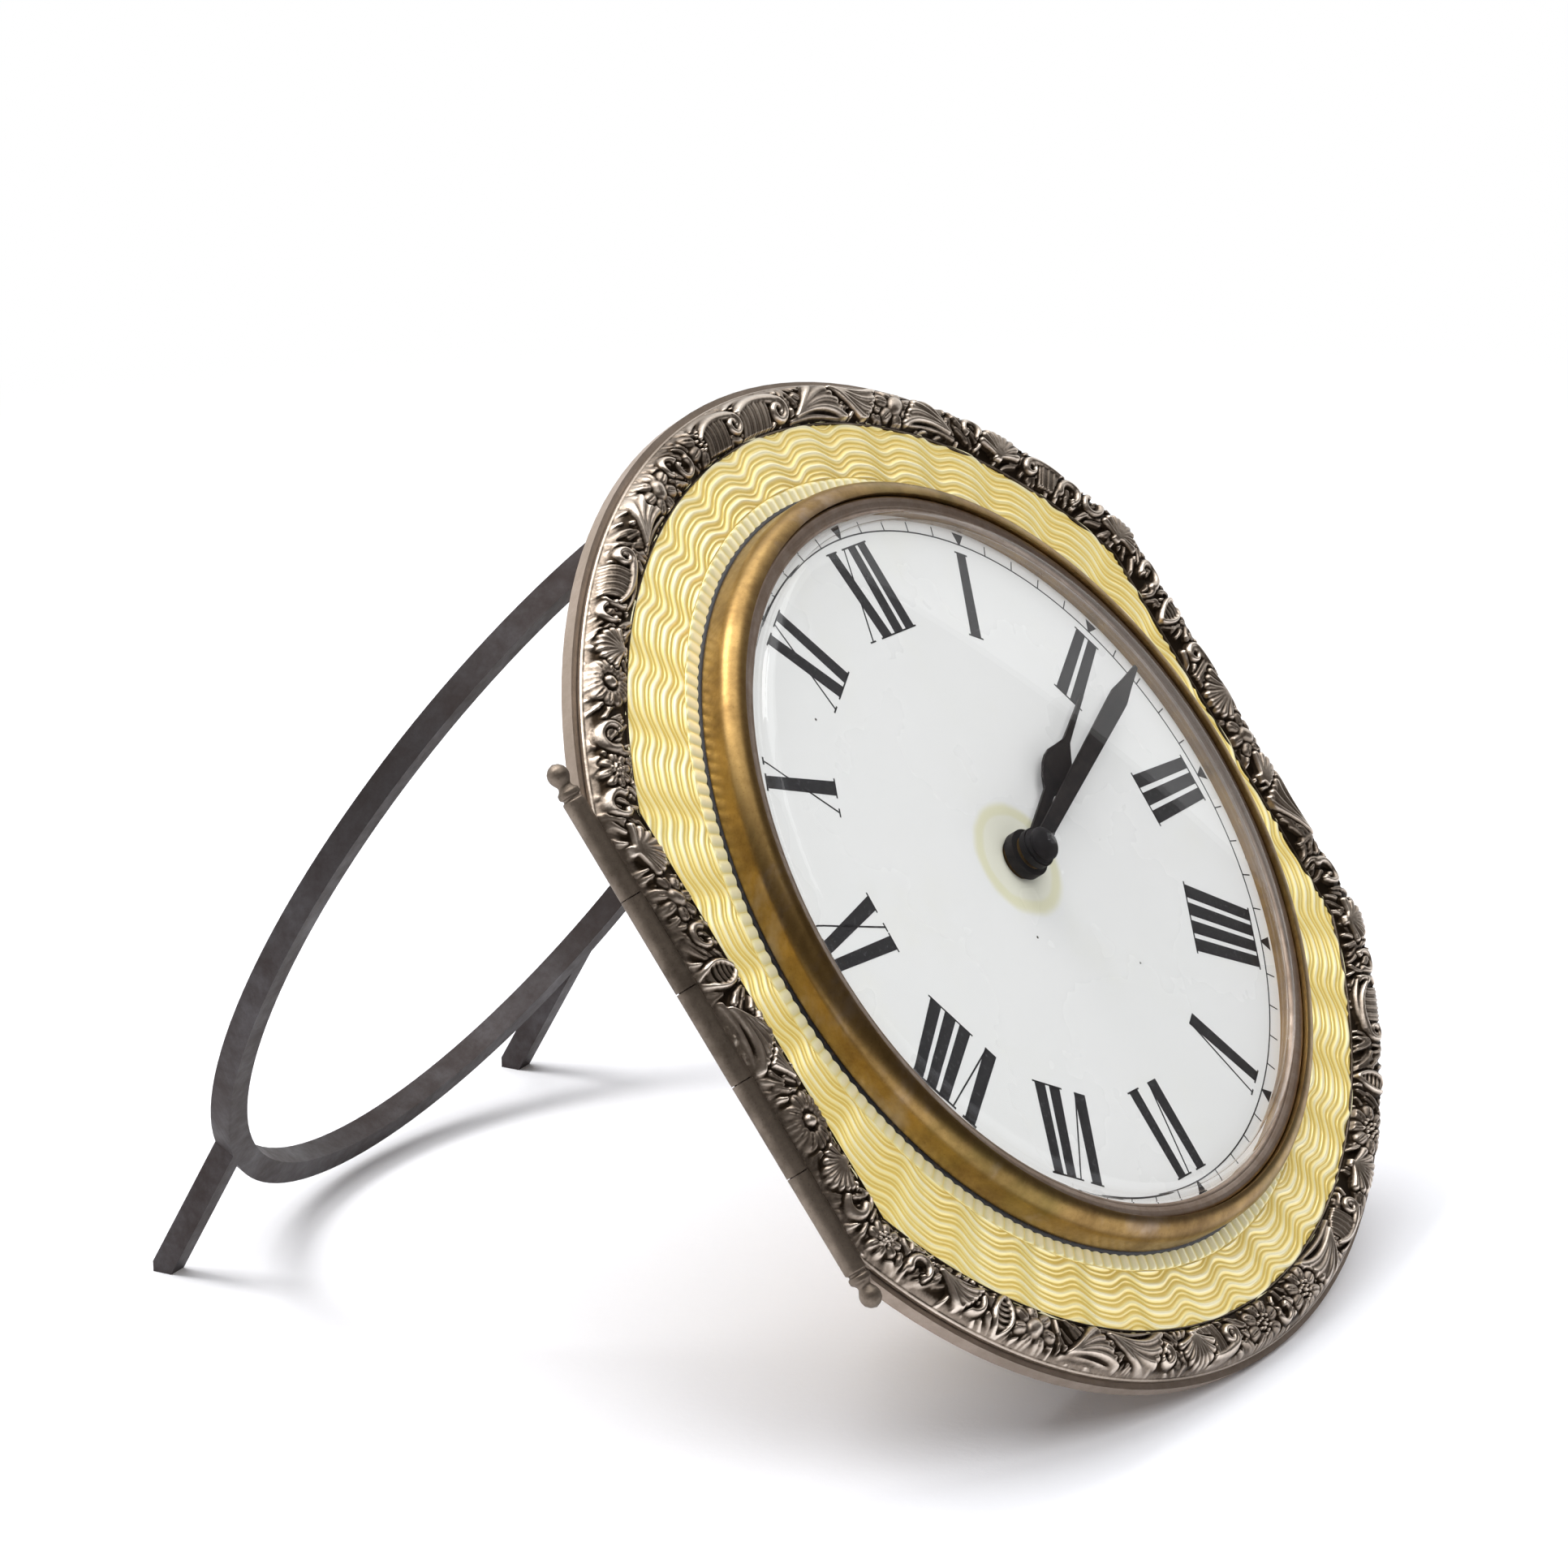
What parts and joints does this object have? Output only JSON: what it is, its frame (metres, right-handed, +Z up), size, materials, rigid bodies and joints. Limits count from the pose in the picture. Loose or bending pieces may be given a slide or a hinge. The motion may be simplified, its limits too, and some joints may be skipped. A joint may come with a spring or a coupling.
{
  "type": "strut clock",
  "caption": "Leaning strut clock: round dial and brass bezel in an enamelled frame with a cast border, side hinge, folding hoop strut, and a wound movement in a drum.",
  "frame": {"origin": "middle of the footprint on the table, under the clock as it stands open on its strut", "axes": "+Z up, the leaning dial faces -Y, +X to the three o'clock side"},
  "size_m": [0.098, 0.1023, 0.0818],
  "materials": {
    "back_cover": "plain",
    "back_plate": "plain",
    "balance_wheel": "plain",
    "barrel_arbor": "plain",
    "barrel_cover": "plain",
    "bezel": "tarnished",
    "border_frame": "cast, blackened in its hollows",
    "bracket_rivets": "tarnished silver",
    "cannon_pinion": "plain",
    "centre_arbor": "plain",
    "centre_wheel": "plain",
    "click": "plain",
    "click_spring": "plain",
    "dial": "matt white, printed",
    "dial_feet": "copper",
    "door_hinge_tubes": "tarnished silver",
    "drum": "plain",
    "enamel_panel": "translucent enamel over engine turning",
    "escape_wheel": "plain",
    "fourth_wheel": "plain",
    "front_plate": "plain",
    "glass": "clear",
    "glass_ring": "dull, pinkish",
    "hairspring": "plain",
    "hand_cap": "blued dark",
    "hinge_finials": "tarnished silver",
    "hinge_pin": "plain",
    "hour_hand": "blued dark",
    "hour_wheel": "plain",
    "mainspring": "plain",
    "mainspring_barrel": "plain",
    "minute_hand": "blued dark",
    "minute_stud": "plain",
    "minute_wheel": "plain",
    "pallet_lever": "plain",
    "plate_pillars": "plain",
    "plate_screws": "plain",
    "ratchet_wheel": "plain",
    "rear_frame": "tarnished silver",
    "rear_hinge_tubes": "tarnished silver",
    "regulator_lever": "plain",
    "rehaut": "dull",
    "set_knob": "plain",
    "strut_bracket": "tarnished silver",
    "strut_hoop": "dark forged iron",
    "strut_pin": "plain",
    "third_wheel": "plain",
    "winding_key": "plain"
  },
  "bodies": {
    "case_back": {"rear_frame": "rear_frame", "rear_hinge_tubes": "rear_hinge_tubes", "hinge_pin": "hinge_pin", "hinge_finials": "hinge_finials", "strut_bracket": "strut_bracket", "strut_pin": "strut_pin", "bracket_rivets": "bracket_rivets"},
    "door": {"border_frame": "border_frame", "enamel_panel": "enamel_panel", "door_hinge_tubes": "door_hinge_tubes", "bezel": "bezel", "glass_ring": "glass_ring", "glass": "glass", "rehaut": "rehaut", "dial": "dial", "dial_feet": "dial_feet", "drum": "drum", "back_cover": "back_cover", "front_plate": "front_plate", "back_plate": "back_plate", "plate_pillars": "plate_pillars", "plate_screws": "plate_screws", "click_spring": "click_spring", "minute_stud": "minute_stud"},
    "strut": {"strut_hoop": "strut_hoop"},
    "centre": {"centre_arbor": "centre_arbor", "cannon_pinion": "cannon_pinion", "minute_hand": "minute_hand", "hand_cap": "hand_cap", "set_knob": "set_knob"},
    "great": {"centre_wheel": "centre_wheel"},
    "hour": {"hour_wheel": "hour_wheel", "hour_hand": "hour_hand"},
    "motion": {"minute_wheel": "minute_wheel"},
    "barrel": {"mainspring_barrel": "mainspring_barrel", "barrel_cover": "barrel_cover", "mainspring": "mainspring"},
    "winding": {"barrel_arbor": "barrel_arbor", "ratchet_wheel": "ratchet_wheel", "winding_key": "winding_key"},
    "third": {"third_wheel": "third_wheel"},
    "fourth": {"fourth_wheel": "fourth_wheel"},
    "escape": {"escape_wheel": "escape_wheel"},
    "lever": {"pallet_lever": "pallet_lever"},
    "balance": {"balance_wheel": "balance_wheel", "hairspring": "hairspring"},
    "regulator": {"regulator_lever": "regulator_lever"},
    "click": {"click": "click"}
  },
  "joints": [
    {"name": "strut_fold", "type": "hinge", "parent": "case_back", "child": "strut", "pos_m": [0.00055, 0.00586, 0.076], "axis": [-1, 0, 0], "range_deg": [0, 65.6]},
    {"name": "door_swing", "type": "hinge", "parent": "case_back", "child": "door", "pos_m": [-0.04795, -0.02176, 0.04102], "axis": [0, -0.5764, -0.8171], "range_deg": [0, 100]},
    {"name": "minute_spin", "type": "hinge", "parent": "door", "child": "centre", "pos_m": [0.00055, -0.02421, 0.04275], "axis": [0, 0.8171, -0.5764], "continuous": true},
    {"name": "hour_spin", "type": "hinge", "parent": "door", "child": "hour", "pos_m": [0.00055, -0.02421, 0.04275], "axis": [0, 0.8171, -0.5764], "continuous": true},
    {"name": "motion_spin", "type": "hinge", "parent": "door", "child": "motion", "pos_m": [0.00018, -0.02766, 0.03786], "axis": [0, 0.8171, -0.5764], "continuous": true},
    {"name": "fourth_spin", "type": "hinge", "parent": "door", "child": "fourth", "pos_m": [0.01449, -0.02139, 0.04674], "axis": [0, 0.8171, -0.5764], "continuous": true},
    {"name": "third_spin", "type": "hinge", "parent": "door", "child": "third", "pos_m": [0.0121, -0.02711, 0.03864], "axis": [0, 0.8171, -0.5764], "continuous": true},
    {"name": "centre_spin", "type": "hinge", "parent": "door", "child": "great", "pos_m": [0.00055, -0.02421, 0.04275], "axis": [0, 0.8171, -0.5764], "continuous": true},
    {"name": "barrel_spin", "type": "hinge", "parent": "door", "child": "barrel", "pos_m": [-0.0122, -0.01933, 0.04966], "axis": [0, 0.8171, -0.5764], "continuous": true},
    {"name": "escape_spin", "type": "hinge", "parent": "door", "child": "escape", "pos_m": [0.01244, -0.01738, 0.05243], "axis": [0, 0.8171, -0.5764], "continuous": true},
    {"name": "winding_spin", "type": "hinge", "parent": "door", "child": "winding", "pos_m": [-0.0122, -0.01933, 0.04966], "axis": [0, 0.8171, -0.5764], "continuous": true},
    {"name": "click_lift", "type": "hinge", "parent": "door", "child": "click", "pos_m": [-0.00796, -0.02276, 0.04481], "axis": [0, 0.8171, -0.5764], "range_deg": [0, 3], "stiffness_Nm_per_rad": 0.000002},
    {"name": "lever_swing", "type": "hinge", "parent": "door", "child": "lever", "pos_m": [0.01269, -0.01499, 0.05582], "axis": [0, 0.8171, -0.5764], "range_deg": [-4, 4]},
    {"name": "balance_swing", "type": "hinge", "parent": "door", "child": "balance", "pos_m": [0.01296, -0.01252, 0.05933], "axis": [0, 0.8171, -0.5764], "range_deg": [-270, 270], "stiffness_Nm_per_rad": 0.000005},
    {"name": "regulator_turn", "type": "hinge", "parent": "door", "child": "regulator", "pos_m": [0.01296, -0.01252, 0.05933], "axis": [0, 0.8171, -0.5764], "range_deg": [-20, 20]}
  ],
  "couplings": [
    {"joint": "hour_spin", "follows": "minute_spin", "ratio": 0.083333},
    {"joint": "motion_spin", "follows": "minute_spin", "ratio": -0.33333},
    {"joint": "third_spin", "follows": "fourth_spin", "ratio": -0.13333},
    {"joint": "centre_spin", "follows": "fourth_spin", "ratio": 0.016667},
    {"joint": "barrel_spin", "follows": "fourth_spin", "ratio": -0.0035714},
    {"joint": "escape_spin", "follows": "fourth_spin", "ratio": -10}
  ]
}
